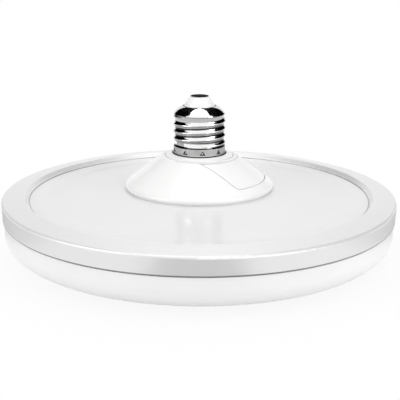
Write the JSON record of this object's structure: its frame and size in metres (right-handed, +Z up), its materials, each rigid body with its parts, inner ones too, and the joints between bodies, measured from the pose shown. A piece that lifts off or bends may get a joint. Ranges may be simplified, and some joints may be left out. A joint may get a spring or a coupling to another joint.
{
  "type": "led disc lamp",
  "caption": "Flat round screw-cap lamp: opal dish, white rim ring and pressed back plate, a cone shaped driver housing with a blank label, and a rolled thread cap with a centre contact.",
  "frame": {"origin": "centre of the flat bottom of the opal dish, which the lamp stands on", "axes": "+Z up the lamp's axis to the cap's centre contact; the blank label faces +X, turned 20.5 degrees towards -Y"},
  "size_m": [0.1979, 0.1978, 0.0789],
  "materials": {
    "opal": "satin",
    "white_gloss": "gloss",
    "white_paint": "gloss",
    "label_film": "satin",
    "cap_metal": "polished",
    "insulator_white": "gloss",
    "contact_metal": "tarnished",
    "board_white": "satin",
    "led_yellow": "satin",
    "steel": "satin",
    "board_green": "satin",
    "can_metal": "satin",
    "ferrite": "matte",
    "tape_yellow": "satin",
    "film_red": "gloss",
    "varistor_blue": "gloss",
    "fuse_tan": "gloss",
    "black_plastic": "matte",
    "connector_cream": "satin",
    "wire_black": "satin",
    "wire_white": "satin",
    "wire_red": "satin"
  },
  "bodies": {
    "root": {"diffuser": "opal", "rim_ring": "white_gloss", "back_plate": "white_paint", "driver_housing": "white_gloss", "rating_label": "label_film", "screw_shell": "cap_metal", "insulator": "insulator_white", "centre_contact": "contact_metal", "led_board": "board_white", "leds": "led_yellow", "led_connector": "connector_cream", "board_screws": "steel", "driver_board": "board_green", "driver_screws": "steel", "input_capacitor": "can_metal", "output_capacitor": "can_metal", "transformer_core": "ferrite", "transformer_coil": "tape_yellow", "film_capacitor": "film_red", "varistor": "varistor_blue", "fuse_resistor": "fuse_tan", "bridge_rectifier": "black_plastic", "driver_chip": "black_plastic", "live_wire": "wire_black", "neutral_wire": "wire_white", "led_wire_plus": "wire_red", "led_wire_minus": "wire_black"}
  },
  "joints": []
}
